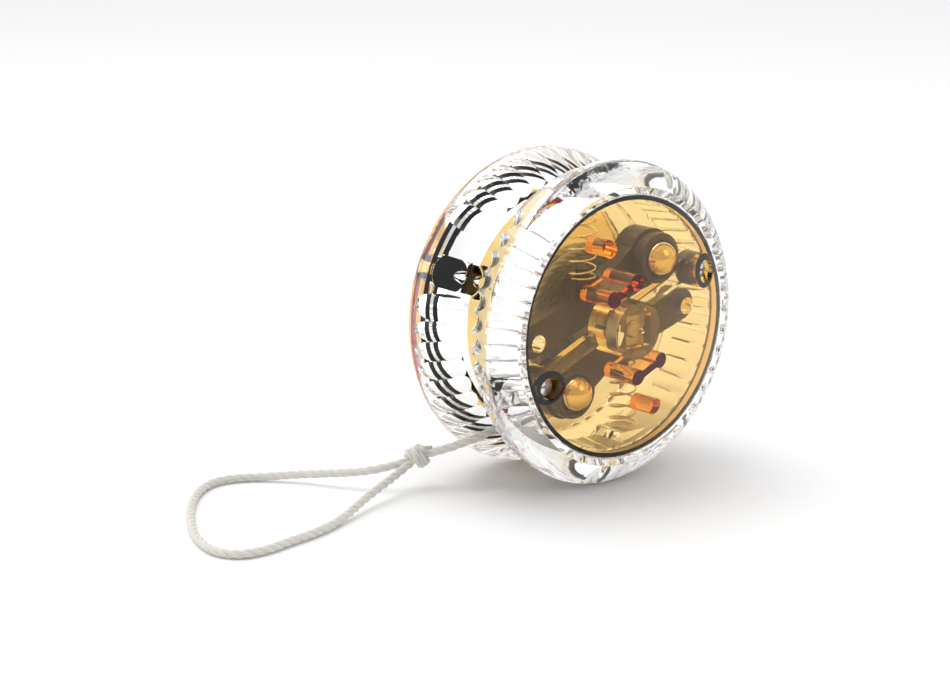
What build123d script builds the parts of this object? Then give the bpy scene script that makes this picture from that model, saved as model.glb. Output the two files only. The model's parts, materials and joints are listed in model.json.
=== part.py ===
"""Yo-yo with a spring-loaded clutch: two clear fluted halves, amber domed covers and a free spool.

Millimetres. +Z up, +Y along the axle towards the rear half. The origin lies on the floor under
the middle of the gap. In each half, a depth is counted outwards from the middle of the gap.
"""

import os
from math import atan2, cos, degrees, pi, radians, sin, sqrt, tan

from build123d import *

# ---------------------------------------------------------------- driving dimensions
BODY_DIA = 57.0  # over the crown of both halves
GAP = 3.6  # string gap between the halves
HALF_DEPTH = 12.2  # one half, gap wall to face lip
FLANK_DROP = 4.0  # how much smaller the half is at the gap wall than at its crown
FACE_RUN = 4.0  # crown to face lip, along the axle
RIM_WALL = 5.55  # crown radius less the radius of the cover's seat
LIP_WIDTH = 1.35  # flat ring around the cover
SEAT_STEP = 1.4  # ledge under the cover's skirt
SEAT_DEPTH = 2.6  # how far the seat goes in from the face
WEB = 2.2  # thickness of the wall between gap and chamber
GAP_EDGE_R = 1.0  # rounding at the gap wall
CROWN_ROUND = 2.2  # rounding of the crown
LIP_ROUND = 0.25  # rounding of both edges of the face lip
FACE_BULGE = 0.5  # height of the face-side curve over its chord

FLUTE_PITCH = 7.5  # degrees
FLUTE_R = 2.6  # radius of an ordinary flute's hollow
WIDE_FLUTE_R = 4.6  # radius of the two flutes beside a plain window
FLUTE_DEPTH = 0.7  # below the gap-side flank
FLUTE_RUN_OUT = 0.12  # share of the flank, from the crown, where the flutes come to the surface
FLUTE_OVERRUN = 12.0  # degrees that the flute's cutter runs on past each end
FLUTES_IN_PANEL = 6  # pitches that one panel takes: wide flute, plain window, wide flute
WIDE_FLUTE_SHIFT = 17.4  # degrees from the middle of a panel to a wide flute
FRONT_PANEL = 116.25  # degrees, middle of the front half's first panel
REAR_PANEL = 26.25  # degrees, the same in the rear half, seen from the rear

COVER_CLEARANCE = 0.05
COVER_RISE = 3.9  # height of the dome
COVER_WALL = 1.2
COVER_ROUND = 0.4  # rounding of the cover's outer edge
SKIRT_WALL = 1.0
WELL_R = 3.0
WELL_WALL = 0.9
WELL_FLOOR = 1.2
KEEPER_ENDS = ((-0.3, 8.3), (-5.5, 6.1))  # upper keeper inside the front cover, from the axle
KEEPER_R = 1.4
KEEPER_PLAY = 0.15  # arm to keeper
STOP_PIN = (-5.5, 14.6)  # upper stop pin inside the front cover, from the axle
STOP_PIN_R = 1.5
STOP_PIN_PLAY = 0.3  # spring to pin

SCREW_INSET = 2.1  # screw's distance inside the chamber wall
SCREW_ANGLE = 22.5
SCREW_POST_R = 3.25
SCREW_SHANK_R = 1.0
SCREW_LENGTH = 6.0
SCREW_HEAD_R = 1.65
SCREW_HEAD = 1.1
THREAD_CLEARANCE = 0.05

AXLE_R = 1.5
NUT_SIDE = 5.5
NUT_HEIGHT = 2.4
NUT_CLEARANCE = 0.1
AXLE_PROUD = 0.5  # axle past each nut
HUB_R = 5.0
HUB_FLOOR = 3.2  # bridge hub under its nut
REAR_HUB_R = 4.4
REAR_HUB_FLOOR = 3.0  # rear hub over the web, under its nut

SPOOL_SLEEVE_R = 5.0  # in the gap
DRUM_R = 4.5  # in the clutch chamber
RUNNING = 0.05  # radial play of a turning piece on its pin
END_PLAY = 0.15  # play along the axle
SHOE_PLAY = 0.05  # shoe to drum at rest

ARM_THICK = 4.4  # at the eye and the cup
BAND_THICK = 3.0  # between them
SHOULDER = 5.2  # band's outer edge over the axle, beside the spring's ledge
LEDGE_STEP = 1.2  # how far the band steps in past the ledge
CUP_MEET = 155.0  # degrees round the cup where the band's outer edge meets it
POST_R = 1.2  # post inside the spring's lower end
POST_HEIGHT = 1.8
ARM_FLOOR_GAP = 0.6  # web to arm
PIVOT_INSET = 4.2  # pivot's distance inside the chamber wall
PIVOT_ANGLE = 182.15  # upper arm's pivot
PIVOT_PIN_R = 1.5
PIVOT_PROUD = 1.5  # pin past the arm
EYE_R = 2.9
BALL_R = 3.175
BALL_CENTRE_R = 14.2
BALL_ANGLE = 47.0
BALL_PLAY = 0.3  # ball to cup, all round
BALL_LIFT = 0.02  # ball to the cup's floor
CUP_R = 4.9
CUP_WALL = 0.95
CUP_HEIGHT = 2.5  # cup's rim over the arm
BALL_SINK = 1.4  # arm's top down to the ball's lowest point
CUP_ROUND = 0.3  # rounding of the cup's rim

BRIDGE_WIDTH = 2.4
BRIDGE_THICK = 1.8
BRIDGE_PLAY = 0.2  # arm to bridge

SPRING_X = -5.0  # upper spring's axis
SPRING_R = 2.5  # over the wire
SPRING_WIRE = 0.4
SPRING_PLAY = 0.3  # spring to the sides of its pocket in the arm
SPRING_TURNS = 6
SPRING_LOW = 8.4  # its lower end over the axle
SPRING_HIGH = 19.9  # its upper end over the axle
SPRING_DEPTH = 7.6
SEAT_HALF = 2.9  # half width of the spring's seat

STRING_DIA = 1.4
WINDING_R = 13.0
WINDING_PLAY = 0.15  # winding to spool end, each side
KNOT_LONG = 2.9
KNOT_WIDE = 2.1

# ---------------------------------------------------------------- worked out
BODY_R = BODY_DIA / 2
HALF_GAP = GAP / 2
FACE = HALF_GAP + HALF_DEPTH
CROWN = FACE - FACE_RUN
SEAT_R = BODY_R - RIM_WALL
LIP_R = SEAT_R + LIP_WIDTH
CHAMBER_R = SEAT_R - SEAT_STEP
LEDGE = FACE - SEAT_DEPTH
WEB_TOP = HALF_GAP + WEB
COVER_R = SEAT_R - COVER_CLEARANCE
COVER_RING = FACE - 0.1
COVER_APEX = COVER_RING + COVER_RISE
DOME_R = (COVER_R**2 + COVER_RISE**2) / (2 * COVER_RISE)
ARM_LOW = WEB_TOP + ARM_FLOOR_GAP
ARM_TOP = ARM_LOW + ARM_THICK
BRIDGE_LOW = ARM_TOP + BRIDGE_PLAY
BRIDGE_TOP = BRIDGE_LOW + BRIDGE_THICK
KEEPER_LOW = ARM_TOP + KEEPER_PLAY
STOP_PIN_LOW = SPRING_DEPTH + SPRING_R + STOP_PIN_PLAY
WELL_LOW = BRIDGE_TOP
WELL_SEAT = WELL_LOW + WELL_FLOOR
SCREW_R = CHAMBER_R - SCREW_INSET
NUT_SEAT = BRIDGE_LOW + HUB_FLOOR
REAR_NUT_SEAT = WEB_TOP + REAR_HUB_FLOOR
AXLE_LINE = Axis((0, 0, BODY_R), (0, 1, 0))


def across(side, depth):
    """Plane square to the axle at a depth in one half: x level, y up, its normal outwards."""
    if side == "front":
        return Plane(origin=(0, -depth, BODY_R), x_dir=(1, 0, 0), z_dir=(0, -1, 0))
    return Plane(origin=(0, depth, BODY_R), x_dir=(-1, 0, 0), z_dir=(0, 1, 0))


def section(side):
    """Plane through the axle for turned profiles: x is the radius, y the depth."""
    level = 1 if side == "front" else -1
    return Plane(origin=(0, 0, BODY_R), x_dir=(level, 0, 0), z_dir=(0, 0, -1))


def polar(radius, angle):
    return (radius * cos(radians(angle)), radius * sin(radians(angle)))


def opposite(point):
    return (-point[0], -point[1])


def both(radius, angle):
    """A place and the one across the axle from it."""
    return [polar(radius, angle), polar(radius, angle + 180)]


def dome(radius, wall=0.0):
    """Depth of the cover's dome at a radius, on its outside or a wall's thickness in."""
    sphere = DOME_R - wall
    return COVER_APEX - DOME_R + sqrt(sphere**2 - radius**2)


def discs(side, places, radius, depth):
    """Circles of one radius, to be drawn out into bosses, bores or screws."""
    with BuildSketch(across(side, depth)) as circles:
        with Locations(*places):
            Circle(radius)
    return circles.sketch


# ---------------------------------------------------------------- clear halves
def flank_point(share):
    """A point on the gap-side flank, an arc that meets the crown level with the axle."""
    run = CROWN - HALF_GAP
    radius = (run**2 + FLANK_DROP**2) / (2 * FLANK_DROP)
    depth = CROWN - share * run
    return (BODY_R - radius + sqrt(radius**2 - (share * run) ** 2), depth)


def face_middle():
    """The middle of the face-side curve, from the crown to the lip."""
    along = (LIP_R - BODY_R, FACE - CROWN)
    length = sqrt(along[0] ** 2 + along[1] ** 2)
    out = (along[1] / length, -along[0] / length)
    middle = ((BODY_R + LIP_R) / 2, (CROWN + FACE) / 2)
    return (middle[0] + FACE_BULGE * out[0], middle[1] + FACE_BULGE * out[1])


def flank_below(share, depth):
    """A point at a depth under the gap-side flank."""
    run = CROWN - HALF_GAP
    radius = (run**2 + FLANK_DROP**2) / (2 * FLANK_DROP)
    centre = Vector(BODY_R - radius, CROWN)
    return centre + (Vector(*flank_point(share)) - centre).normalized() * (radius - depth)


def flute_cutter(radius):
    """Bent rod that hollows the flute at angle 0: x outwards from the axle, z the depth.

    Its bottom line is an arc, one flute's depth under the flank at the gap and at mid flank, which
    comes to the surface near the crown.
    """
    low, middle = flank_below(1, FLUTE_DEPTH), flank_below(0.5, FLUTE_DEPTH)
    high = flank_below(FLUTE_RUN_OUT, 0)
    bottom = Edge.make_three_point_arc(low, middle, high)
    centre = bottom.arc_center
    reach = bottom.radius + radius
    first = degrees(atan2(low.Y - centre.Y, low.X - centre.X)) - FLUTE_OVERRUN
    last = degrees(atan2(high.Y - centre.Y, high.X - centre.X)) + FLUTE_OVERRUN
    x, z = polar(reach, first)
    with BuildPart() as rod:
        heading = (-sin(radians(first)), 0, cos(radians(first)))
        with BuildSketch(Plane(origin=(centre.X + x, 0, centre.Y + z), z_dir=heading)):
            Circle(radius)
        hinge = Axis((centre.X, 0, centre.Y), (0, -1, 0))
        revolve(axis=hinge, revolution_arc=last - first)
    return rod.part


def plain_flute_angles(panel):
    """Middles of the ordinary flutes, which fill the rim between two opposite panels."""
    half_panel = FLUTES_IN_PANEL * FLUTE_PITCH / 2
    per_side = round((180 - 2 * half_panel) / FLUTE_PITCH)
    starts = [panel + half_panel, panel + 180 + half_panel]
    return [first + (n + 0.5) * FLUTE_PITCH for first in starts for n in range(per_side)]


def wide_flute_angles(panel):
    return [panel + turn + shift for turn in (0, 180) for shift in (-WIDE_FLUTE_SHIFT, WIDE_FLUTE_SHIFT)]


def half_body(side, hole_r, panel):
    """One half turned from its profile, with its flutes and its two screw posts."""
    with BuildPart() as body:
        with BuildSketch(section(side)) as profile:
            with BuildLine():
                Polyline((hole_r, WEB_TOP), (hole_r, HALF_GAP), flank_point(1))
                ThreePointArc(flank_point(1), flank_point(0.5), flank_point(0))
                ThreePointArc(flank_point(0), face_middle(), (LIP_R, FACE))
                Polyline(
                    (LIP_R, FACE),
                    (SEAT_R, FACE),
                    (SEAT_R, LEDGE),
                    (CHAMBER_R, LEDGE),
                    (CHAMBER_R, WEB_TOP),
                    (hole_r, WEB_TOP),
                )
            make_face()
            crown = profile.vertices().sort_by_distance(Vector(*flank_point(0)))[0]
            fillet(crown, CROWN_ROUND)
            edge = profile.vertices().sort_by_distance(Vector(*flank_point(1)))[0]
            fillet(edge, GAP_EDGE_R)
            for lip in ((LIP_R, FACE), (SEAT_R, FACE)):
                fillet(profile.vertices().sort_by_distance(Vector(*lip))[0], LIP_ROUND)
        revolve(axis=AXLE_LINE)
        for angles, radius in (
            (plain_flute_angles(panel), FLUTE_R),
            (wide_flute_angles(panel), WIDE_FLUTE_R),
        ):
            turns = [across(side, 0).location * Location((0, 0, 0), (0, 0, angle)) for angle in angles]
            with Locations(*turns):
                add(flute_cutter(radius), mode=Mode.SUBTRACT)
        post_top = BRIDGE_LOW if side == "front" else WELL_LOW
        screws = both(SCREW_R, SCREW_ANGLE)
        extrude(discs(side, screws, SCREW_POST_R, WEB_TOP), amount=post_top - WEB_TOP)
        holes = discs(side, screws, SCREW_SHANK_R + THREAD_CLEARANCE, WEB_TOP)
        extrude(holes, amount=post_top - WEB_TOP, mode=Mode.SUBTRACT)
        pockets = discs(side, screws, WELL_R + COVER_CLEARANCE, post_top)
        extrude(pockets, amount=LEDGE - post_top, mode=Mode.SUBTRACT)
    return body.part


def front_half_shell():
    """Front half: a hole for the spool's drum, two pivot pins and two spring seats."""
    with BuildPart() as shell:
        add(half_body("front", DRUM_R + END_PLAY, FRONT_PANEL))
        with BuildSketch(across("front", WEB_TOP)):
            with Locations(*both(CHAMBER_R - PIVOT_INSET, PIVOT_ANGLE)):
                Circle(PIVOT_PIN_R)
        extrude(amount=ARM_TOP + PIVOT_PROUD - WEB_TOP)
        reach = sqrt(CHAMBER_R**2 - (abs(SPRING_X) - SEAT_HALF) ** 2) + LIP_WIDTH / 2
        with BuildSketch(across("front", WEB_TOP)):
            for sign in (1, -1):
                with Locations((sign * SPRING_X, sign * (SPRING_HIGH + reach) / 2)):
                    Rectangle(2 * SEAT_HALF, reach - SPRING_HIGH)
        extrude(amount=SPRING_DEPTH + SPRING_R - WEB_TOP)
    shell.part.label = "front_half_shell"
    return shell.part


def rear_half_shell():
    """Rear half: a hole for the axle and a hub that holds the rear nut."""
    with BuildPart() as shell:
        add(half_body("rear", AXLE_R + THREAD_CLEARANCE, REAR_PANEL))
        with BuildSketch(across("rear", WEB_TOP)):
            Circle(REAR_HUB_R)
            Circle(AXLE_R + THREAD_CLEARANCE, mode=Mode.SUBTRACT)
        extrude(amount=REAR_HUB_FLOOR + NUT_HEIGHT)
        with BuildSketch(across("rear", REAR_NUT_SEAT)):
            Rectangle(NUT_SIDE + 2 * NUT_CLEARANCE, NUT_SIDE + 2 * NUT_CLEARANCE)
        extrude(amount=NUT_HEIGHT, mode=Mode.SUBTRACT)
    shell.part.label = "rear_half_shell"
    return shell.part


# ---------------------------------------------------------------- amber covers
def dome_wall(side):
    """Profile of the domed wall with its skirt."""
    inner = COVER_R - SKIRT_WALL
    with BuildSketch(section(side)) as profile:
        with BuildLine():
            ThreePointArc((0, dome(0)), (COVER_R / 2, dome(COVER_R / 2)), (COVER_R, dome(COVER_R)))
            Polyline((COVER_R, dome(COVER_R)), (COVER_R, LEDGE), (inner, LEDGE), (inner, dome(inner, COVER_WALL)))
            ThreePointArc(
                (inner, dome(inner, COVER_WALL)),
                (inner / 2, dome(inner / 2, COVER_WALL)),
                (0, dome(0, COVER_WALL)),
            )
            Line((0, dome(0, COVER_WALL)), (0, dome(0)))
        make_face()
        rim = profile.vertices().sort_by_distance(Vector(COVER_R, dome(COVER_R)))[0]
        fillet(rim, COVER_ROUND)
    return profile.sketch


def dome_space(side):
    """Profile of all that lies under the dome's outside."""
    with BuildSketch(section(side)) as profile:
        with BuildLine():
            ThreePointArc((0, dome(0)), (COVER_R / 2, dome(COVER_R / 2)), (COVER_R, dome(COVER_R)))
            Polyline((COVER_R, dome(COVER_R)), (COVER_R, 0), (0, 0), (0, dome(0)))
        make_face()
    return profile.sketch


def cover(side):
    """Domed cover with its skirt and two screw wells; the front one also keeps the clutch in."""
    screws = both(SCREW_R, SCREW_ANGLE)
    with BuildPart() as lid:
        extrude(discs(side, screws, WELL_R, WELL_LOW), amount=COVER_APEX - WELL_LOW)
        if side == "front":
            ends = [*KEEPER_ENDS, *[opposite(end) for end in KEEPER_ENDS]]
            pins = [STOP_PIN, opposite(STOP_PIN)]
            extrude(discs(side, ends, KEEPER_R, KEEPER_LOW), amount=COVER_APEX - KEEPER_LOW)
            extrude(discs(side, pins, STOP_PIN_R, STOP_PIN_LOW), amount=COVER_APEX - STOP_PIN_LOW)
            (x1, z1), (x2, z2) = KEEPER_ENDS
            tilt = degrees(atan2(z2 - z1, x2 - x1))
            middle = ((x1 + x2) / 2, (z1 + z2) / 2)
            with BuildSketch(across(side, KEEPER_LOW)):
                for place in (middle, opposite(middle)):
                    with Locations(Location((*place, 0), (0, 0, tilt))):
                        Rectangle(sqrt((x2 - x1) ** 2 + (z2 - z1) ** 2), KEEPER_R)
            extrude(amount=COVER_APEX - KEEPER_LOW)
        revolve(dome_space(side), axis=AXLE_LINE, mode=Mode.INTERSECT)
        revolve(dome_wall(side), axis=AXLE_LINE)
        wells = discs(side, screws, WELL_R - WELL_WALL, WELL_SEAT)
        extrude(wells, amount=COVER_APEX - WELL_SEAT, mode=Mode.SUBTRACT)
        holes = discs(side, screws, SCREW_SHANK_R + THREAD_CLEARANCE, WELL_LOW)
        extrude(holes, amount=WELL_FLOOR, mode=Mode.SUBTRACT)
    lid.part.label = f"{side}_cover"
    return lid.part


def cover_screws(side):
    """The two cross-head screws of one cover."""
    places = both(SCREW_R, SCREW_ANGLE)
    with BuildPart() as screws:
        extrude(discs(side, places, SCREW_SHANK_R, WELL_SEAT), amount=-SCREW_LENGTH)
        extrude(discs(side, places, SCREW_HEAD_R, WELL_SEAT), amount=SCREW_HEAD)
        rims = screws.edges().filter_by(GeomType.CIRCLE)
        rims = rims.filter_by(lambda edge: abs(abs(edge.center().Y) - WELL_SEAT - SCREW_HEAD) < 0.01)
        chamfer(rims, SCREW_HEAD / 4)
        with BuildSketch(across(side, WELL_SEAT + SCREW_HEAD)):
            with Locations(*places):
                Rectangle(SCREW_HEAD_R * 1.2, SCREW_HEAD_R / 4)
                Rectangle(SCREW_HEAD_R / 4, SCREW_HEAD_R * 1.2)
        extrude(amount=-SCREW_HEAD * 0.6, mode=Mode.SUBTRACT)
    screws.part.label = f"{side}_cover_screws"
    return screws.part


# ---------------------------------------------------------------- axle and clutch bridge
def axle():
    front_end = NUT_SEAT + NUT_HEIGHT + AXLE_PROUD
    rear_end = REAR_NUT_SEAT + NUT_HEIGHT + AXLE_PROUD
    with BuildPart() as rod:
        with BuildSketch(across("rear", rear_end)):
            Circle(AXLE_R)
        extrude(amount=-(front_end + rear_end))
        chamfer(rod.edges().filter_by(GeomType.CIRCLE), AXLE_R / 5)
    rod.part.label = "axle"
    return rod.part


def axle_nut(side, seat):
    with BuildPart() as nut:
        with BuildSketch(across(side, seat)):
            RectangleRounded(NUT_SIDE, NUT_SIDE, NUT_SIDE / 12)
            Circle(AXLE_R + THREAD_CLEARANCE, mode=Mode.SUBTRACT)
        extrude(amount=NUT_HEIGHT)
    nut.part.label = f"{side}_axle_nut"
    return nut.part


def clutch_bridge():
    """Clear bar between the screw posts, with the hub that holds the front nut."""
    ears = both(SCREW_R, SCREW_ANGLE)
    hub_top = dome(HUB_R, COVER_WALL) - END_PLAY
    with BuildPart() as bridge:
        with BuildSketch(across("front", BRIDGE_LOW)):
            with Locations(Location((0, 0, 0), (0, 0, SCREW_ANGLE))):
                Rectangle(2 * SCREW_R, BRIDGE_WIDTH)
            with Locations(*ears):
                Circle(WELL_R)
            Circle(HUB_R)
            with Locations(*ears):
                Circle(SCREW_SHANK_R + THREAD_CLEARANCE, mode=Mode.SUBTRACT)
        extrude(amount=BRIDGE_THICK)
        with BuildSketch(across("front", BRIDGE_TOP)):
            Circle(HUB_R)
        extrude(amount=hub_top - BRIDGE_TOP)
        with BuildSketch(across("front", NUT_SEAT)):
            Rectangle(NUT_SIDE + 2 * NUT_CLEARANCE, NUT_SIDE + 2 * NUT_CLEARANCE)
        extrude(amount=hub_top - NUT_SEAT, mode=Mode.SUBTRACT)
        with BuildSketch(across("front", BRIDGE_LOW)):
            Circle(AXLE_R + THREAD_CLEARANCE)
        extrude(amount=HUB_FLOOR, mode=Mode.SUBTRACT)
    bridge.part.label = "clutch_bridge"
    return bridge.part


def spool():
    """Free-turning spool: a sleeve for the string and the drum that the clutch grips."""
    sleeve = HALF_GAP - END_PLAY
    with BuildPart() as bush:
        with BuildSketch(across("rear", sleeve)):
            Circle(SPOOL_SLEEVE_R)
        extrude(amount=-2 * sleeve)
        with BuildSketch(across("front", sleeve)):
            Circle(DRUM_R)
        extrude(amount=ARM_TOP - sleeve)
        with BuildSketch(across("rear", sleeve)):
            Circle(AXLE_R + RUNNING)
        extrude(amount=-(sleeve + ARM_TOP), mode=Mode.SUBTRACT)
    bush.part.label = "spool"
    return bush.part


# ---------------------------------------------------------------- clutch
def turned(point, lower):
    """The same place for the lower arm, which is the upper one turned half way round."""
    return opposite(point) if lower else point


def arm_band():
    """Corners of the upper arm's band, which touches its eye, carries the spring and ends at its cup."""
    pivot, cup = polar(CHAMBER_R - PIVOT_INSET, PIVOT_ANGLE), polar(BALL_CENTRE_R, BALL_ANGLE)
    run = Vector(cup[0] - pivot[0], cup[1] - pivot[1])
    lean = degrees(atan2(run.Y, run.X))
    splay = degrees(atan2(CUP_R - EYE_R, sqrt(run.length**2 - (CUP_R - EYE_R) ** 2)))
    eye_up, eye_low = polar(EYE_R, lean + 90), polar(EYE_R, lean - 90 - splay)
    cup_up, cup_low = polar(CUP_R, CUP_MEET), polar(CUP_R, lean - 90 - splay)
    half_ledge = SPRING_R + SPRING_PLAY
    return (
        (pivot[0] + eye_up[0], pivot[1] + eye_up[1]),
        (SPRING_X - half_ledge, SHOULDER),
        (SPRING_X - half_ledge, SPRING_LOW),
        (SPRING_X + half_ledge, SPRING_LOW),
        (SPRING_X + half_ledge, SPRING_LOW - LEDGE_STEP),
        (cup[0] + cup_up[0], cup[1] + cup_up[1]),
        (cup[0] + cup_low[0], cup[1] + cup_low[1]),
        (pivot[0] + eye_low[0], pivot[1] + eye_low[1]),
    )


def clutch_arm(name, lower):
    """Arm from its pivot past the drum to the ball's cup, hollowed to the drum as a brake shoe."""
    pivot = turned(polar(CHAMBER_R - PIVOT_INSET, PIVOT_ANGLE), lower)
    cup = turned(polar(BALL_CENTRE_R, BALL_ANGLE), lower)
    foot = turned((SPRING_X, SPRING_LOW - BAND_THICK / 2), lower)
    with BuildPart() as arm:
        with BuildSketch(across("front", ARM_TOP - BAND_THICK)):
            with BuildLine():
                Polyline(*[turned(corner, lower) for corner in arm_band()], close=True)
            make_face()
        extrude(amount=BAND_THICK)
        with BuildSketch(across("front", ARM_LOW)):
            with Locations(pivot):
                Circle(EYE_R)
            with Locations(cup):
                Circle(CUP_R)
        extrude(amount=ARM_THICK)
        with BuildSketch(across("front", ARM_LOW)):
            Circle(DRUM_R + SHOE_PLAY)
            with Locations(pivot):
                Circle(PIVOT_PIN_R + RUNNING)
        extrude(amount=ARM_THICK, mode=Mode.SUBTRACT)
        up = -1 if lower else 1
        with BuildSketch(Plane(origin=(foot[0], -SPRING_DEPTH, BODY_R + foot[1]), z_dir=(0, 0, up))):
            Circle(POST_R)
        extrude(amount=POST_HEIGHT + BAND_THICK / 2)
        with BuildSketch(across("front", ARM_TOP)):
            with Locations(cup):
                Circle(BALL_R + BALL_PLAY + CUP_WALL)
        extrude(amount=CUP_HEIGHT)
        with BuildSketch(across("front", ARM_TOP - BALL_SINK)):
            with Locations(cup):
                Circle(BALL_R + BALL_PLAY)
        extrude(amount=CUP_HEIGHT + BALL_SINK, mode=Mode.SUBTRACT)
        rim = arm.faces().filter_by(Plane.XZ).sort_by(Axis.Y)[0]
        fillet(rim.outer_wire().edges(), CUP_ROUND)
    arm.part.label = name
    return arm.part


def weight_ball(name, lower):
    """Steel ball resting on the floor of its cup."""
    x, z = turned(polar(BALL_CENTRE_R, BALL_ANGLE), lower)
    depth = ARM_TOP - BALL_SINK + BALL_R + BALL_LIFT
    with BuildPart() as ball:
        with Locations((x, -depth, BODY_R + z)):
            Sphere(BALL_R)
    ball.part.label = name
    return ball.part


def clutch_spring(name, lower):
    """Compression coil from the arm's ledge to the seat at the chamber wall."""
    sign = -1 if lower else 1
    rise = SPRING_HIGH - SPRING_LOW - SPRING_WIRE
    base = BODY_R + SPRING_WIRE / 2 + (-SPRING_HIGH if lower else SPRING_LOW)
    radius = SPRING_R - SPRING_WIRE / 2
    with BuildPart() as coil:
        with BuildLine(Plane(origin=(sign * SPRING_X, -SPRING_DEPTH, base))) as path:
            Helix(pitch=rise / SPRING_TURNS, height=rise, radius=radius)
        start = path.edge()
        with BuildSketch(Plane(origin=start @ 0, z_dir=start % 0)):
            Circle(SPRING_WIRE / 2)
        sweep(path=start, is_frenet=True)
    coil.part.label = name
    return coil.part


# ---------------------------------------------------------------- string
# Routes are (x, y, height over the floor); the lead leaves the winding and ends in the knot,
# and the finger loop leaves the knot and comes back to it.
LEAD_ROUTE = (
    (1.0, 0.0, 16.2),
    (-5.0, 0.0, 14.1),
    (-11.5, 0.0, 11.9),
    (-17.4, 0.2, 10.4),
    (-21.3, 1.5, 9.2),
    (-24.0, 4.0, 7.7),
    (-26.2, 6.5, 6.6),
    (-27.6, 8.2, 5.9),
)
LOOP_ROUTE = (
    (-28.6, 8.6, 5.4),
    (-31.6, 8.2, 4.1),
    (-35.6, 7.0, 3.3),
    (-41.9, 5.0, 2.1),
    (-49.5, 1.6, 0.75),
    (-56.1, -1.1, 0.72),
    (-62.7, -2.0, 0.72),
    (-68.4, -3.1, 0.72),
    (-72.9, -2.3, 0.72),
    (-75.0, 1.4, 0.72),
    (-74.4, 6.4, 0.72),
    (-72.2, 12.2, 0.72),
    (-68.6, 18.6, 0.72),
    (-64.2, 24.8, 0.72),
    (-59.6, 29.6, 0.72),
    (-55.0, 32.2, 0.72),
    (-50.6, 31.6, 0.72),
    (-46.4, 28.8, 0.8),
    (-42.6, 24.6, 1.5),
    (-39.6, 19.4, 2.3),
    (-36.6, 14.2, 3.2),
    (-33.2, 10.6, 4.2),
    (-29.2, 8.9, 5.2),
)
KNOT_PLACE = (-27.9, 8.5, 5.7)
KNOT_DIRECTION = (-2.4, 2.6, -1.1)


def corner_radii(route):
    """Largest arcs that a route's runs allow: 0.45 of the shorter run over tan of half the turn."""
    points = [Vector(*point) for point in route]
    radii = []
    for before, corner, after in zip(points, points[1:], points[2:]):
        first, second = corner - before, after - corner
        half_turn = radians(first.get_angle(second)) / 2
        radii.append(0.45 * min(first.length, second.length) / tan(half_turn))
    return radii


def string_tube(name, route):
    radii = corner_radii(route)
    print(name, "radii", [round(radius, 1) for radius in radii])
    with BuildPart() as tube:
        with BuildLine() as path:
            FilletPolyline(*route, radius=radii)
        wire = path.wire()
        with BuildSketch(Plane(origin=wire @ 0, z_dir=wire % 0)):
            Circle(STRING_DIA / 2)
        sweep(path=wire)
    section_area = pi * STRING_DIA**2 / 4
    length = wire.length
    print(name, "length", round(length, 1), "volume share", round(tube.part.volume / (section_area * length), 4))
    tube.part.label = name
    return tube.part


def string_winding():
    """The wound string, as the ring that its turns fill."""
    side = HALF_GAP - END_PLAY - WINDING_PLAY / 3
    with BuildPart() as ring:
        with BuildSketch(across("rear", side)):
            Circle(WINDING_R)
            Circle(SPOOL_SLEEVE_R, mode=Mode.SUBTRACT)
        extrude(amount=-2 * side)
    ring.part.label = "string_winding"
    return ring.part


def string_knot():
    """Overhand knot that closes the finger loop, as a plain barrel shape."""
    level = (KNOT_DIRECTION[1], -KNOT_DIRECTION[0], 0)
    flat = Plane(origin=KNOT_PLACE, x_dir=KNOT_DIRECTION, z_dir=level)
    with BuildPart() as knot:
        with BuildSketch(flat):
            Ellipse(KNOT_LONG, KNOT_WIDE)
            Rectangle(3 * KNOT_LONG, 3 * KNOT_WIDE, align=(Align.CENTER, Align.MAX), mode=Mode.SUBTRACT)
        revolve(axis=Axis(KNOT_PLACE, KNOT_DIRECTION))
    knot.part.label = "string_knot"
    return knot.part


PARTS = [
    front_half_shell(),
    rear_half_shell(),
    cover("front"),
    cover("rear"),
    cover_screws("front"),
    cover_screws("rear"),
    axle(),
    axle_nut("front", NUT_SEAT),
    axle_nut("rear", REAR_NUT_SEAT),
    clutch_bridge(),
    spool(),
    clutch_arm("clutch_arm_upper", False),
    clutch_arm("clutch_arm_lower", True),
    weight_ball("weight_ball_upper", False),
    weight_ball("weight_ball_lower", True),
    clutch_spring("clutch_spring_upper", False),
    clutch_spring("clutch_spring_lower", True),
    string_winding(),
    string_tube("string_lead", LEAD_ROUTE),
    string_knot(),
    string_tube("finger_loop", LOOP_ROUTE),
]

os.makedirs("parts", exist_ok=True)
for part in PARTS:
    export_step(part, f"parts/{part.label}.step")
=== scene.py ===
# %% [markdown]
# # A clear yo-yo with a ball clutch
# The object is two clear moulded halves with fluted rims. Each half carries a domed amber cover,
# and a spool with a wound string turns between them. The shapes that have to fit each other come
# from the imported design, which is loaded here as a fixed frame. This script adds what a maker sees
# and a designer leaves out: twisted string, coiled wire, and the finish of every surface.

# %% Load the frame
import json
from math import atan2, cos, hypot, pi, radians, sin

import bmesh
import bpy
from mathutils import Matrix, Vector


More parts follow.
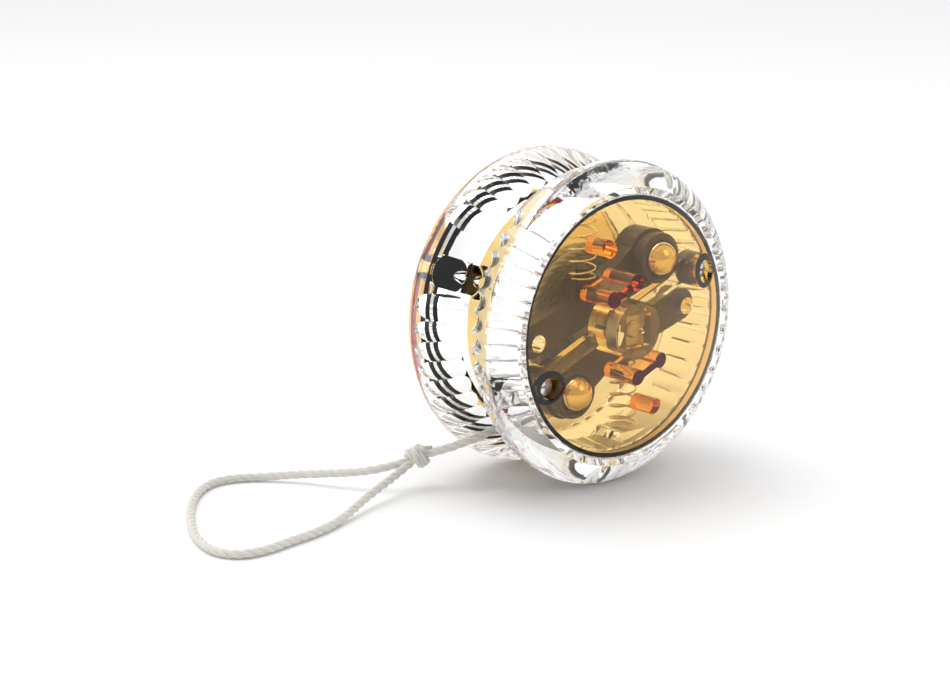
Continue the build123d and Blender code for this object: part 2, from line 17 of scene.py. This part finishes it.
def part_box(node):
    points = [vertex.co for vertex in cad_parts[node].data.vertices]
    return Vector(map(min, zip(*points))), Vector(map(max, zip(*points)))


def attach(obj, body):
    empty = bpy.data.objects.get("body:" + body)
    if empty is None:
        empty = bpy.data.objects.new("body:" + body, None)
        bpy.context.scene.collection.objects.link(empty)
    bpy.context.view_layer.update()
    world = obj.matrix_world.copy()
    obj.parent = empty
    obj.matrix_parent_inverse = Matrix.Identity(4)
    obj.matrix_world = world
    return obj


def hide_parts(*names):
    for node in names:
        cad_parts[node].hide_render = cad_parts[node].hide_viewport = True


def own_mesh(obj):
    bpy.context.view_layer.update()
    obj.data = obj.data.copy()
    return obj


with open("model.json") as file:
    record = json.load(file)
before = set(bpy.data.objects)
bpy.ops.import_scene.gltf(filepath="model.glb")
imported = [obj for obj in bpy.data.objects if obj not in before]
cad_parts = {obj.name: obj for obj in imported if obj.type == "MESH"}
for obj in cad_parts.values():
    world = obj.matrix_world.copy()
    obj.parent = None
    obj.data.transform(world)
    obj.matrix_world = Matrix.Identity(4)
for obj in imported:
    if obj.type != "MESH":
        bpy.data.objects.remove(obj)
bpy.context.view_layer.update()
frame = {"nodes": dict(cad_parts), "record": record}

MM = 0.001
NODES = frame["nodes"]

# %% [markdown]
# The camera comes first, because the string has to lie where it is seen. It looks at the clutch half
# from its left and a little from above. An aim point and a turn about it say where a camera stands
# more plainly than three coordinates do, so its place is worked out from those.

# %% Camera
AXLE = sum(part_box("axle"), Vector()) / 2
MIDDLE = Vector((0, 0, AXLE.z))
CAMERA_TURN = radians(-40.0)
CAMERA_RISE = radians(14.45)
CAMERA_DISTANCE = 0.3993
AIM_RIGHT = -0.01707
AIM_UP = -0.00649

level = cos(CAMERA_RISE)
toward_camera = Vector((sin(CAMERA_TURN) * level, -cos(CAMERA_TURN) * level, sin(CAMERA_RISE)))
camera_right = Vector((cos(CAMERA_TURN), sin(CAMERA_TURN), 0))
camera_up = toward_camera.cross(camera_right)
lens = bpy.data.cameras.new("camera")
lens.lens = 86.0
lens.sensor_width = 36.0
lens.clip_start = 0.01
camera = bpy.data.objects.new("camera", lens)
bpy.context.scene.collection.objects.link(camera)
camera.location = MIDDLE + AIM_RIGHT * camera_right + AIM_UP * camera_up + CAMERA_DISTANCE * toward_camera
camera.rotation_mode = "QUATERNION"
camera.rotation_quaternion = toward_camera.to_track_quat("Z", "Y")
bpy.context.scene.camera = camera
print("camera stands at", [round(value, 4) for value in camera.location])

# %% [markdown]
# ## String
# The string is one length of twisted cotton. It is tied round the spool, wound on it, and leaves the
# gap at the bottom. It ends in an overhand knot and a finger loop that lies on the table. A NURBS
# curve through a few listed points is smooth, as limp string is. The turns on the spool are
# regular, so a loop works out their points: each turn changes lane, because the gap is two strings
# wide, and lies a little further out than the last.

# %% Route of the string
STRING_R = 0.7 * MM
TURNS = 11
POINTS_PER_TURN = 16
LANE = 0.75 * MM
LANE_CHANGE = 2.5  # how sharply the string crosses from lane to lane
SLEEVE_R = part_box("spool")[1].x
LEAD_ROUTE = [
    (0.0010, 0.0, 0.0162),
    (-0.0050, 0.0, 0.0141),
    (-0.0115, 0.0, 0.0119),
    (-0.0174, 0.0002, 0.0104),
    (-0.0213, 0.0015, 0.0092),
    (-0.0240, 0.0040, 0.0077),
    (-0.0262, 0.0065, 0.0066),
    (-0.0276, 0.0082, 0.0059),
]
LOOP_ROUTE = [
    (-0.0286, 0.0086, 0.0054),
    (-0.0316, 0.0082, 0.0041),
    (-0.0356, 0.0070, 0.0033),
    (-0.0419, 0.0050, 0.0021),
    (-0.0495, 0.0016, 0.0008),
    (-0.0561, -0.0011, 0.00079),
    (-0.0627, -0.0020, 0.00079),
    (-0.0684, -0.0031, 0.00079),
    (-0.0729, -0.0023, 0.00079),
    (-0.0750, 0.0014, 0.00079),
    (-0.0744, 0.0064, 0.00079),
    (-0.0722, 0.0122, 0.00079),
    (-0.0686, 0.0186, 0.00079),
    (-0.0642, 0.0248, 0.00079),
    (-0.0596, 0.0296, 0.00079),
    (-0.0550, 0.0322, 0.00079),
    (-0.0506, 0.0316, 0.00079),
    (-0.0464, 0.0288, 0.0008),
    (-0.0426, 0.0246, 0.0015),
    (-0.0396, 0.0194, 0.0023),
    (-0.0366, 0.0142, 0.0032),
    (-0.0332, 0.0106, 0.0042),
    (-0.0292, 0.0089, 0.0052),
]


def winding_points():
    """Turns from the sleeve outwards, clockwise from the front, up to the start of the lead."""
    leave = Vector(LEAD_ROUTE[0]) - MIDDLE
    inner, outer = SLEEVE_R + STRING_R, hypot(leave.x, leave.z)
    last = atan2(leave.z, leave.x)
    points = []
    for step in range(TURNS * POINTS_PER_TURN):
        turn = step / POINTS_PER_TURN
        radius = inner + (outer - inner) * turn / TURNS
        angle = last + 2 * pi * (TURNS - turn)
        lane = LANE * max(-1.0, min(1.0, LANE_CHANGE * sin(pi * turn)))
        points.append((radius * cos(angle), lane, MIDDLE.z + radius * sin(angle)))
    return points


def smooth_line(points):
    """Points along the NURBS curve that has these control points."""
    curve = bpy.data.curves.new("route", "CURVE")
    curve.dimensions = "3D"
    spline = curve.splines.new("NURBS")
    spline.points.add(len(points) - 1)
    for control, place in zip(spline.points, points):
        control.co = (*place, 1.0)
    spline.order_u = 3
    spline.use_endpoint_u = True
    spline.resolution_u = 14
    route = bpy.data.objects.new("route", curve)
    mesh = bpy.data.meshes.new_from_object(route)
    line = [vertex.co.copy() for vertex in mesh.vertices]
    bpy.data.objects.remove(route)
    bpy.data.curves.remove(curve)
    bpy.data.meshes.remove(mesh)
    return line


def line_length(line):
    return sum((b - a).length for a, b in zip(line, line[1:]))


winding_line = smooth_line(winding_points() + LEAD_ROUTE)
loop_line = smooth_line(LOOP_ROUTE)
print("string on the spool and lead, m:", round(line_length(winding_line), 4))
print("finger loop, m:", round(line_length(loop_line), 4))

# %% [markdown]
# Twisted string is three strands laid round each other. A bump on a plain tube wouldn't change its
# outline, so each strand is a thin tube of its own, which follows a helix about the route. The helix
# needs a frame that doesn't spin, so the side direction is carried along from point to point.

# %% Strands
STRANDS = 3
STRAND_R = 0.42 * MM
STRAND_OFFSET = 0.35 * MM
TWIST_LENGTH = 5.6 * MM


def tube(line, radius, sides):
    """Mesh of a round tube along a line of points."""
    curve = bpy.data.curves.new("tube", "CURVE")
    curve.dimensions = "3D"
    curve.bevel_depth = radius
    curve.bevel_resolution = (sides - 4) // 2
    curve.use_fill_caps = True
    spline = curve.splines.new("POLY")
    spline.points.add(len(line) - 1)
    for control, place in zip(spline.points, line):
        control.co = (*place, 1.0)
    holder = bpy.data.objects.new("tube", curve)
    mesh = bpy.data.meshes.new_from_object(holder)
    bpy.data.objects.remove(holder)
    bpy.data.curves.remove(curve)
    return mesh


def strand_line(line, phase):
    """A helix about a line, with the side direction carried along without spinning."""
    side = (line[1] - line[0]).orthogonal().normalized()
    walked = 0.0
    strand = []
    for place, ahead in zip(line, line[1:] + [2 * line[-1] - line[-2]]):
        along = (ahead - place).normalized()
        side = (side - side.dot(along) * along).normalized()
        across = along.cross(side)
        angle = phase + 2 * pi * walked / TWIST_LENGTH
        strand.append(place + STRAND_OFFSET * (cos(angle) * side + sin(angle) * across))
        walked += (ahead - place).length
    return strand


def merged(meshes):
    """One bmesh of several meshes."""
    together = bmesh.new()
    for mesh in meshes:
        together.from_mesh(mesh)
        bpy.data.meshes.remove(mesh)
    return together


def piece(name, shape, smooth=True):
    """A finished object at the origin, its place in its mesh, from a bmesh."""
    bmesh.ops.recalc_face_normals(shape, faces=shape.faces)
    mesh = bpy.data.meshes.new(name)
    shape.to_mesh(mesh)
    shape.free()
    if smooth:
        mesh.shade_smooth()
    made = bpy.data.objects.new(name, mesh)
    bpy.context.scene.collection.objects.link(made)
    print(name, len(mesh.polygons), "faces")
    return made


def twisted(name, line, sides=8):
    """Three-strand string along a line."""
    strands = [tube(strand_line(line, 2 * pi * n / STRANDS), STRAND_R, sides) for n in range(STRANDS)]
    return piece(name, merged(strands))


string_on_spool = twisted("string_on_spool", winding_line)
loop_string = twisted("loop_string", loop_line)

# %% [markdown]
# The overhand knot is the same string, wrapped twice round itself where the lead meets the loop. Its
# points are written in the knot's own directions, along the string and across it, and turned into
# place by a matrix.

# %% Knot
KNOT_WRAP_R = 1.5 * MM
KNOT_HALF = 1.1 * MM
KNOT_TURNS = 2.25
KNOT_START = 0.6  # angle of the first wrap, in radians
KNOT_POINTS = 20
LUMPS = 5  # bulges in one turn, from the strands under the wrap
LUMP_SHARE = 0.12  # height of a bulge as a share of the wrap's radius
WRAP_SWAY = 0.35 * MM  # how far a wrap leans along the string
KNOT_LEAD_IN = [(-2.4 * MM, 0, 0), (-1.9 * MM, -0.5 * MM, 0.2 * MM)]
KNOT_LEAD_OUT = [(1.7 * MM, 0.3 * MM, 0.5 * MM), (2.2 * MM, 0, 0)]
knot_low, knot_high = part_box("string_knot")
knot_place = (knot_low + knot_high) / 2
knot_along = (Vector(LOOP_ROUTE[0]) - Vector(LEAD_ROUTE[-1])).normalized()


def knot_points():
    """Two wraps round the string, from the lead's end to the loop's two ends."""
    turn = knot_along.to_track_quat("X", "Z").to_matrix().to_4x4()
    place = Matrix.Translation(knot_place) @ turn
    points = list(KNOT_LEAD_IN)
    for step in range(KNOT_POINTS + 1):
        share = step / KNOT_POINTS
        angle = 2 * pi * KNOT_TURNS * share + KNOT_START
        radius = KNOT_WRAP_R * (1 + LUMP_SHARE * sin(LUMPS * angle))
        along = KNOT_HALF * (2 * share - 1) + WRAP_SWAY * sin(angle)
        points.append((along, radius * cos(angle), radius * sin(angle)))
    points += KNOT_LEAD_OUT
    return [place @ Vector(point) for point in points]


knot = twisted("knot", smooth_line(knot_points()))
for cord_piece, stood_for in (
    (string_on_spool, ("string_winding", "string_lead")),
    (knot, ("string_knot",)),
    (loop_string, ("finger_loop",)),
):
    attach(cord_piece, "string_spool")
    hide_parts(*stood_for)

# %% [markdown]
# ## Clutch springs
# Each brake arm is pushed onto the drum by a thin wire coil. The wire is closed at both ends, where
# its last turn lies flat on its seat, and open between. The coil stands where the design's plain one
# does. When the arm swings out the real coil gets shorter; this mesh rides on the halves at the
# design coil's length and does not squash with the joint.

# %% Springs
WIRE_R = 0.17 * MM
SPRING_TURNS = 6.5
SPRING_POINTS_PER_TURN = 14
CLOSED_SHARE = 0.12  # share of the turns at each end that lie flat


def spring(name, node, fixed_high):
    low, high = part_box(node)
    middle = (low + high) / 2
    coil_r = (high.x - low.x) / 2 - WIRE_R
    bottom, top = low.z + WIRE_R, high.z - WIRE_R
    points = []
    steps = int(SPRING_TURNS * SPRING_POINTS_PER_TURN)
    for step in range(steps + 1):
        share = step / steps
        angle = 2 * pi * SPRING_TURNS * share + (pi if fixed_high else 0)
        open_share = max(0.0, min(1.0, (share - CLOSED_SHARE) / (1 - 2 * CLOSED_SHARE)))
        lift = 2 * WIRE_R * min(1.0, share / CLOSED_SHARE)
        lift += 2 * WIRE_R * max(0.0, (share - 1) / CLOSED_SHARE + 1)
        rise = bottom + lift + (top - bottom - 4 * WIRE_R) * open_share
        points.append(Vector((middle.x + coil_r * cos(angle), middle.y + coil_r * sin(angle), rise)))
    coil = piece(name, merged([tube(smooth_line(points), WIRE_R, 8)]))
    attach(coil, "halves")
    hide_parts(node)
    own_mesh(coil)
    return coil


springs = [
    spring("spring_upper", "clutch_spring_upper", True),
    spring("spring_lower", "clutch_spring_lower", False),
]

# %% [markdown]
# ## Finishes
# A finish is a node tree. Wiring nodes by hand hides the sums, so one small class wraps a socket and
# lets ordinary operators add the Math nodes, and another builds a finish round its shader.

# %% Tools for finishes
class Value:
    """A node's output, on which arithmetic adds Math nodes."""

    def __init__(self, finish, socket):
        self.finish = finish
        self.socket = socket

    def maths(self, operation, first, second):
        return self.finish.node("ShaderNodeMath", {"operation": operation}, {0: first, 1: second})

    def __add__(self, other):
        return self.maths("ADD", self, other)

    def __radd__(self, other):
        return self.maths("ADD", other, self)

    def __sub__(self, other):
        return self.maths("SUBTRACT", self, other)

    def __rsub__(self, other):
        return self.maths("SUBTRACT", other, self)

    def __mul__(self, other):
        return self.maths("MULTIPLY", self, other)

    def __rmul__(self, other):
        return self.maths("MULTIPLY", other, self)


class Finish:
    """A material round one Principled shader."""

    def __init__(self, name, **constants):
        self.material = bpy.data.materials.new(name)
        self.material.use_nodes = True
        self.tree = self.material.node_tree
        self.shader = self.tree.nodes["Principled BSDF"]
        self.place = self.node("ShaderNodeTexCoord", {}, {}, "Object")
        for socket, value in constants.items():
            self.shader.inputs[socket.replace("_", " ")].default_value = value

    def node(self, kind, settings, sockets, output=0):
        """Adds a node: its settings first, then the values or links of its sockets."""
        made = self.tree.nodes.new(kind)
        for key, value in settings.items():
            if key == "stops":
                for stop, (position, level) in zip(made.color_ramp.elements, value):
                    stop.position = position
                    stop.color = (level, level, level, 1.0)
            else:
                setattr(made, key, value)
        for key, value in sockets.items():
            self.feed(made.inputs[key], value)
        return Value(self, made.outputs[output])

    def feed(self, socket, value):
        if isinstance(value, Value):
            self.tree.links.new(value.socket, socket)
        else:
            socket.default_value = value

    def set(self, socket, value):
        self.feed(self.shader.inputs[socket], value)

    def noise(self, size, detail=2.0, place=None):
        """Noise whose blotches are about one size across, in metres."""
        return self.node(
            "ShaderNodeTexNoise", {}, {"Vector": place or self.place, "Scale": 1 / size, "Detail": detail}
        )

    def step(self, value, low, high):
        """0 below low, 1 above high."""
        return self.node("ShaderNodeValToRGB", {"stops": ((low, 0.0), (high, 1.0))}, {0: value})

    def mix(self, mask, first, second):
        return self.node("ShaderNodeMix", {"data_type": "RGBA"}, {0: mask, 6: first, 7: second}, 2)

    def bump(self, height, depth, strength=1.0):
        """Feeds the normal with a relief of a height in metres."""
        sockets = {"Height": height, "Distance": depth, "Strength": strength}
        self.set("Normal", self.node("ShaderNodeBump", {}, sockets))


# %% [markdown]
# Clear polycarbonate bends light strongly, which is what draws the flutes. A moulding is never
# optically flat: a slow waviness breaks up the reflections, and handling leaves fine scuffs that show
# only as rougher patches.

# %% Clear plastic
def clear_plastic():
    finish = Finish("clear_plastic", Transmission_Weight=1.0, IOR=1.54)
    scuffs = finish.step(finish.noise(1.6 * MM, 4.0), 0.52, 0.75)
    cloud = finish.noise(14 * MM, 2.0)
    finish.set("Base Color", finish.mix(cloud, (0.975, 0.98, 0.985, 1), (0.94, 0.95, 0.955, 1)))
    finish.set("Roughness", 0.012 + 0.05 * scuffs)
    finish.bump(finish.noise(5 * MM, 1.0) + 0.15 * finish.noise(1.2 * MM, 2.0), 0.05 * MM)
    return finish.material


# %% [markdown]
# The amber of the covers is in the plastic, not on it: a thin dome is golden, and a thick peg or a
# skirt seen edge-on is red. Absorption in the volume gives both from one colour.

# %% Amber plastic
AMBER = (0.980, 0.75, 0.10, 1)
AMBER_DENSITY = 1000.0  # per metre


def amber_plastic():
    finish = Finish("amber_plastic", Transmission_Weight=1.0, IOR=1.52)
    scuffs = finish.step(finish.noise(1.2 * MM, 4.0), 0.55, 0.8)
    cloud = finish.noise(12 * MM, 2.0)
    finish.set("Base Color", finish.mix(cloud, (1.0, 0.985, 0.95, 1), (0.98, 0.96, 0.92, 1)))
    finish.set("Roughness", 0.01 + 0.05 * scuffs)
    finish.bump(finish.noise(7 * MM, 1.0), 0.02 * MM)
    depth = finish.tree.nodes.new("ShaderNodeVolumeAbsorption")
    depth.inputs["Color"].default_value = AMBER
    depth.inputs["Density"].default_value = AMBER_DENSITY
    output = finish.tree.nodes["Material Output"]
    finish.tree.links.new(depth.outputs["Volume"], output.inputs["Volume"])
    return finish.material


# %% [markdown]
# The brake arms are moulded in dark brown acetal. Its satin comes from a fine grain, and the arms are
# rubbed a little brighter in patches.

# %% Moulded plastics
def dark_plastic():
    finish = Finish("dark_plastic", IOR=1.48)
    rubbed = finish.step(finish.noise(4 * MM, 5.0), 0.45, 0.7)
    finish.set("Base Color", finish.mix(rubbed, (0.026, 0.019, 0.013, 1), (0.046, 0.034, 0.023, 1)))
    finish.set("Roughness", 0.28 + 0.16 * rubbed)
    finish.bump(finish.noise(0.35 * MM, 2.0), 0.012 * MM)
    return finish.material


def spool_plastic():
    finish = Finish("spool_plastic", IOR=1.48, Subsurface_Weight=0.15, Subsurface_Scale=0.002)
    stain = finish.noise(3 * MM, 4.0)
    finish.set("Base Color", finish.mix(stain, (0.82, 0.79, 0.72, 1), (0.74, 0.70, 0.62, 1)))
    finish.set("Roughness", 0.35 + 0.12 * stain)
    finish.bump(finish.noise(0.4 * MM, 2.0), 0.01 * MM)
    return finish.material


# %% [markdown]
# Metals have no colour of their own beyond their reflection, so what tells them apart is how they
# were made. Turned parts keep rings of fine lines, a plated screw is brighter and slightly mottled,
# a bearing ball is all but a mirror, and drawn spring wire has a warm skin.

# %% Metals
def metal(name, first, second, blotch, rough, spread, grain):
    """A metal with blotches of two tints, and roughness and relief from the same blotches."""
    finish = Finish(name, Metallic=1.0)
    mottle = finish.noise(blotch, 4.0)
    finish.set("Base Color", finish.mix(mottle, first, second))
    finish.set("Roughness", rough + spread * mottle)
    finish.bump(finish.noise(grain, 3.0), 0.006 * MM)
    return finish.material


def turned_steel():
    finish = Finish("axle_steel", Metallic=1.0)
    stretched = finish.node("ShaderNodeMapping", {}, {"Vector": finish.place, "Scale": (1.0, 12.0, 1.0)})
    rings = finish.noise(0.8 * MM, 4.0, stretched)
    finish.set("Base Color", finish.mix(rings, (0.62, 0.61, 0.58, 1), (0.44, 0.43, 0.41, 1)))
    finish.set("Roughness", 0.22 + 0.2 * rings)
    finish.bump(rings, 0.01 * MM)
    return finish.material


# %% [markdown]
# Cotton scatters light softly and has a faint sheen from loose fibres. The strands are real shapes
# already, so the finish adds only the fibres within them and a slight yellowing.

# %% Cotton
def cotton():
    finish = Finish("string", Roughness=0.9, Sheen_Weight=0.35, Sheen_Roughness=0.5, Subsurface_Weight=0.25,
                    Subsurface_Scale=0.0008)
    tone = finish.noise(2.5 * MM, 3.0)
    fibre = finish.noise(0.16 * MM, 4.0)
    finish.set("Base Color", finish.mix(tone, (0.74, 0.725, 0.67, 1), (0.66, 0.64, 0.58, 1)))
    finish.bump(fibre, 0.12 * MM)
    return finish.material


# %% [markdown]
# Every piece of the design keeps its mesh and gets the finish of its slot in the record.

# %% Put the finishes on
FINISHES = {
    "clear_plastic": clear_plastic(),
    "amber_plastic": amber_plastic(),
    "dark_plastic": dark_plastic(),
    "spool_plastic": spool_plastic(),
    "axle_steel": turned_steel(),
    "screw_steel": metal(
        "screw_steel", (0.80, 0.79, 0.76, 1), (0.66, 0.65, 0.62, 1), 0.9 * MM, 0.16, 0.16, 0.2 * MM
    ),
    "ball_steel": metal(
        "ball_steel", (0.86, 0.85, 0.83, 1), (0.80, 0.79, 0.77, 1), 3.0 * MM, 0.05, 0.06, 0.4 * MM
    ),
    "spring_steel": metal(
        "spring_steel", (0.90, 0.80, 0.58, 1), (0.82, 0.70, 0.46, 1), 1.5 * MM, 0.20, 0.12, 0.1 * MM
    ),
    "string": cotton(),
}
for subpart in frame["record"]["subparts"]:
    node = NODES[subpart["node"]]
    node.material_slots[0].material = FINISHES[subpart["material_slot"]]
for made, slot in ((string_on_spool, "string"), (loop_string, "string"), (knot, "string"),
                   (springs[0], "spring_steel"), (springs[1], "spring_steel")):
    made.data.materials.append(FINISHES[slot])
print(len(FINISHES), "finishes")

# %% [markdown]
# ## Studio
# The yo-yo stands on white card in a bright studio. Clear plastic shows what stands round it, so a
# white room alone would leave it invisible: it needs darker parts to draw its edges. The surround is
# brightest behind the object and about half as bright on the camera's side.

# %% Floor
FLOOR_HALF = 1.5
with_floor = bmesh.new()
bmesh.ops.create_grid(with_floor, x_segments=1, y_segments=1, size=FLOOR_HALF)
floor = piece("floor", with_floor, smooth=False)
card = Finish("floor_card", Roughness=0.9)
card.set("Base Color", card.mix(card.noise(0.4), (0.90, 0.90, 0.90, 1), (0.89, 0.89, 0.89, 1)))
floor.data.materials.append(card.material)


# %% Lamps
def softbox(name, right, away, up, width, height, power, aim=MIDDLE):
    """A rectangular lamp, placed by how far it is to the right of, beyond and above the object."""
    beyond = Vector((-toward_camera.x, -toward_camera.y, 0)).normalized()
    light = bpy.data.lights.new(name, "AREA")
    light.shape = "RECTANGLE"
    light.size = width
    light.size_y = height
    light.energy = power
    lamp = bpy.data.objects.new(name, light)
    bpy.context.scene.collection.objects.link(lamp)
    lamp.location = MIDDLE + right * camera_right + away * beyond + up * Vector((0, 0, 1))
    lamp.rotation_mode = "QUATERNION"
    lamp.rotation_quaternion = (lamp.location - aim).to_track_quat("Z", "Y")
    return lamp


softbox("key", -0.20, 0.10, 0.60, 0.45, 0.45, 1.6)
softbox("fill", 0.45, -0.25, 0.35, 0.30, 0.30, 0.3)
softbox("rim", -0.45, -0.05, 0.12, 0.10, 0.35, 0.3)

# %% Surround
LIGHT_BOUNCES = 32  # light crosses many walls of clear plastic before it leaves
BEHIND = -0.5  # how squarely a direction faces the camera's side, where the surround starts to dim
CAMERA_SIDE = 0.6  # and where it is dimmest
BRIGHTEST = 1.3
DIMMEST = 0.68
world = bpy.data.worlds.new("surround")
bpy.context.scene.world = world
world.use_nodes = True
nodes, links = world.node_tree.nodes, world.node_tree.links
direction = nodes.new("ShaderNodeTexCoord")
facing = nodes.new("ShaderNodeVectorMath")
facing.operation = "DOT_PRODUCT"
facing.inputs[1].default_value = toward_camera
links.new(direction.outputs["Generated"], facing.inputs[0])
shade = nodes.new("ShaderNodeMapRange")
shade.inputs["From Min"].default_value = BEHIND
shade.inputs["From Max"].default_value = CAMERA_SIDE
shade.inputs["To Min"].default_value = BRIGHTEST
shade.inputs["To Max"].default_value = DIMMEST
links.new(facing.outputs["Value"], shade.inputs["Value"])
seen = nodes.new("ShaderNodeLightPath")
room = nodes.new("ShaderNodeMix")
room.inputs["B"].default_value = 1.0
links.new(seen.outputs["Is Camera Ray"], room.inputs["Factor"])
links.new(shade.outputs["Result"], room.inputs["A"])
background = nodes["Background"]
links.new(room.outputs["Result"], background.inputs["Strength"])
background.inputs["Color"].default_value = (1.0, 1.0, 1.0, 1.0)
bpy.context.scene.view_settings.view_transform = "Standard"
for kind in ("max_bounces", "transmission_bounces", "glossy_bounces"):
    setattr(bpy.context.scene.cycles, kind, LIGHT_BOUNCES)
